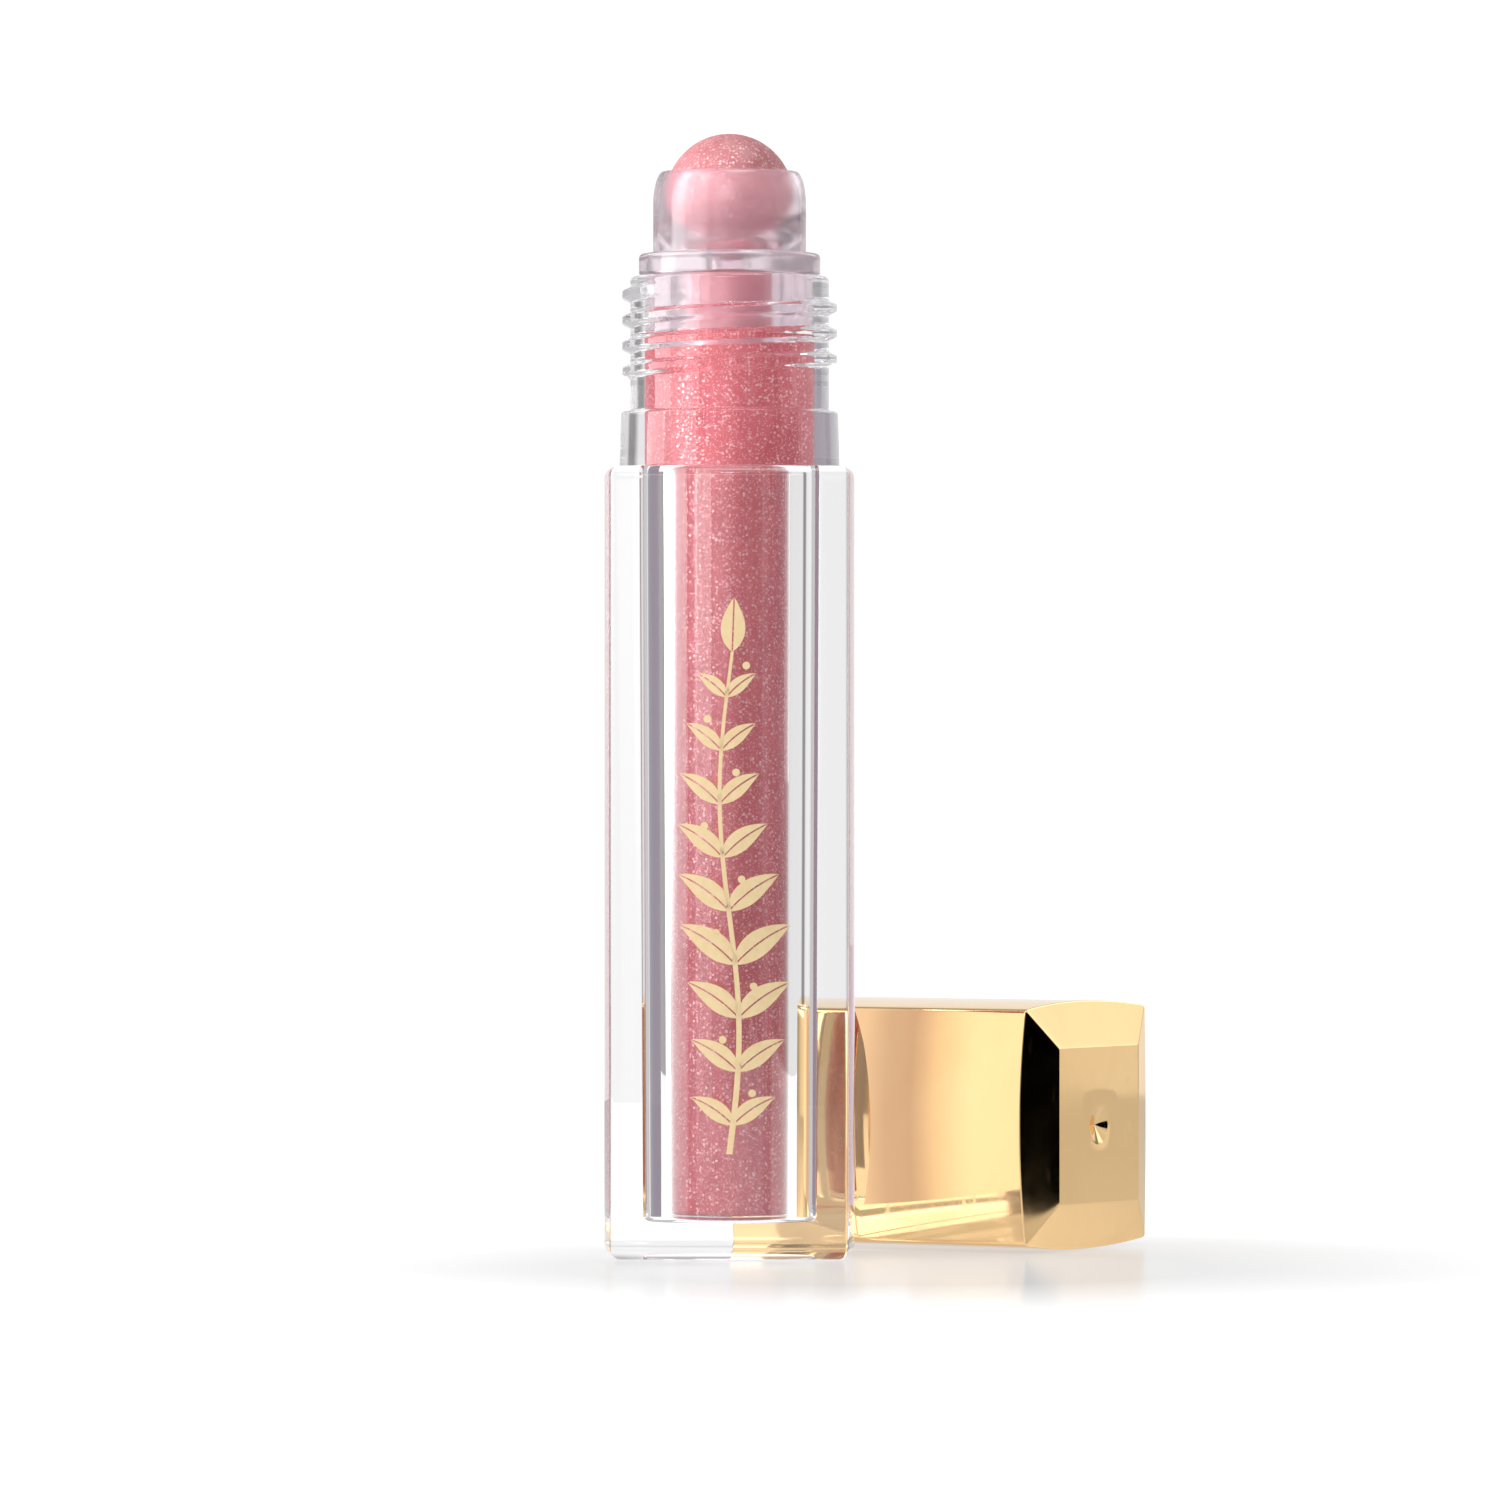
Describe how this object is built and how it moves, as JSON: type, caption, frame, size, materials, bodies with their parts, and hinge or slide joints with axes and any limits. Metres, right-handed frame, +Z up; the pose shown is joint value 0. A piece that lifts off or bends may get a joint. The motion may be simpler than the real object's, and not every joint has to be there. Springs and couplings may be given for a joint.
{
  "type": "lip gloss tube",
  "caption": "Roll-on lip gloss: a clear square sleeve round a threaded vial of pink gloss, a roller ball in a milky housing, and a square gold screw cap lying beside it.",
  "frame": {"origin": "centre of the sleeve's flat base, where the tube stands", "axes": "+Z up along the tube's axis, from the sleeve's base to the roller ball; -Y is the front; the cap lies behind and to the right, on the +X +Y side"},
  "size_m": [0.043, 0.0419, 0.0875],
  "materials": {
    "clear_acrylic": "clear, polished",
    "clear_vial": "clear, polished",
    "rose_gloss": "thick pink gloss with fine shimmer",
    "milky_plastic": "milky, semi-gloss",
    "coated_ball": "plastic ball wet with gloss",
    "gold_shell": "polished metallised gold",
    "natural_liner": "natural, satin",
    "soft_pad": "soft, matte"
  },
  "bodies": {
    "tube": {"outer_sleeve": "clear_acrylic", "inner_vial": "clear_vial", "gloss_fill": "rose_gloss", "roller_housing": "milky_plastic"},
    "ball": {"roller_ball": "coated_ball"},
    "cap": {"cap_shell": "gold_shell", "cap_liner": "natural_liner", "cap_seal": "soft_pad"}
  },
  "joints": [
    {"name": "ball_roll", "type": "hinge", "parent": "tube", "child": "ball", "pos_m": [0, 0, 0.08253], "axis": [1, 0, 0], "continuous": true},
    {"name": "cap_lift", "type": "slide", "parent": "tube", "child": "cap", "axis": [0, 0, 1], "range_m": [0, 0.1]}
  ]
}
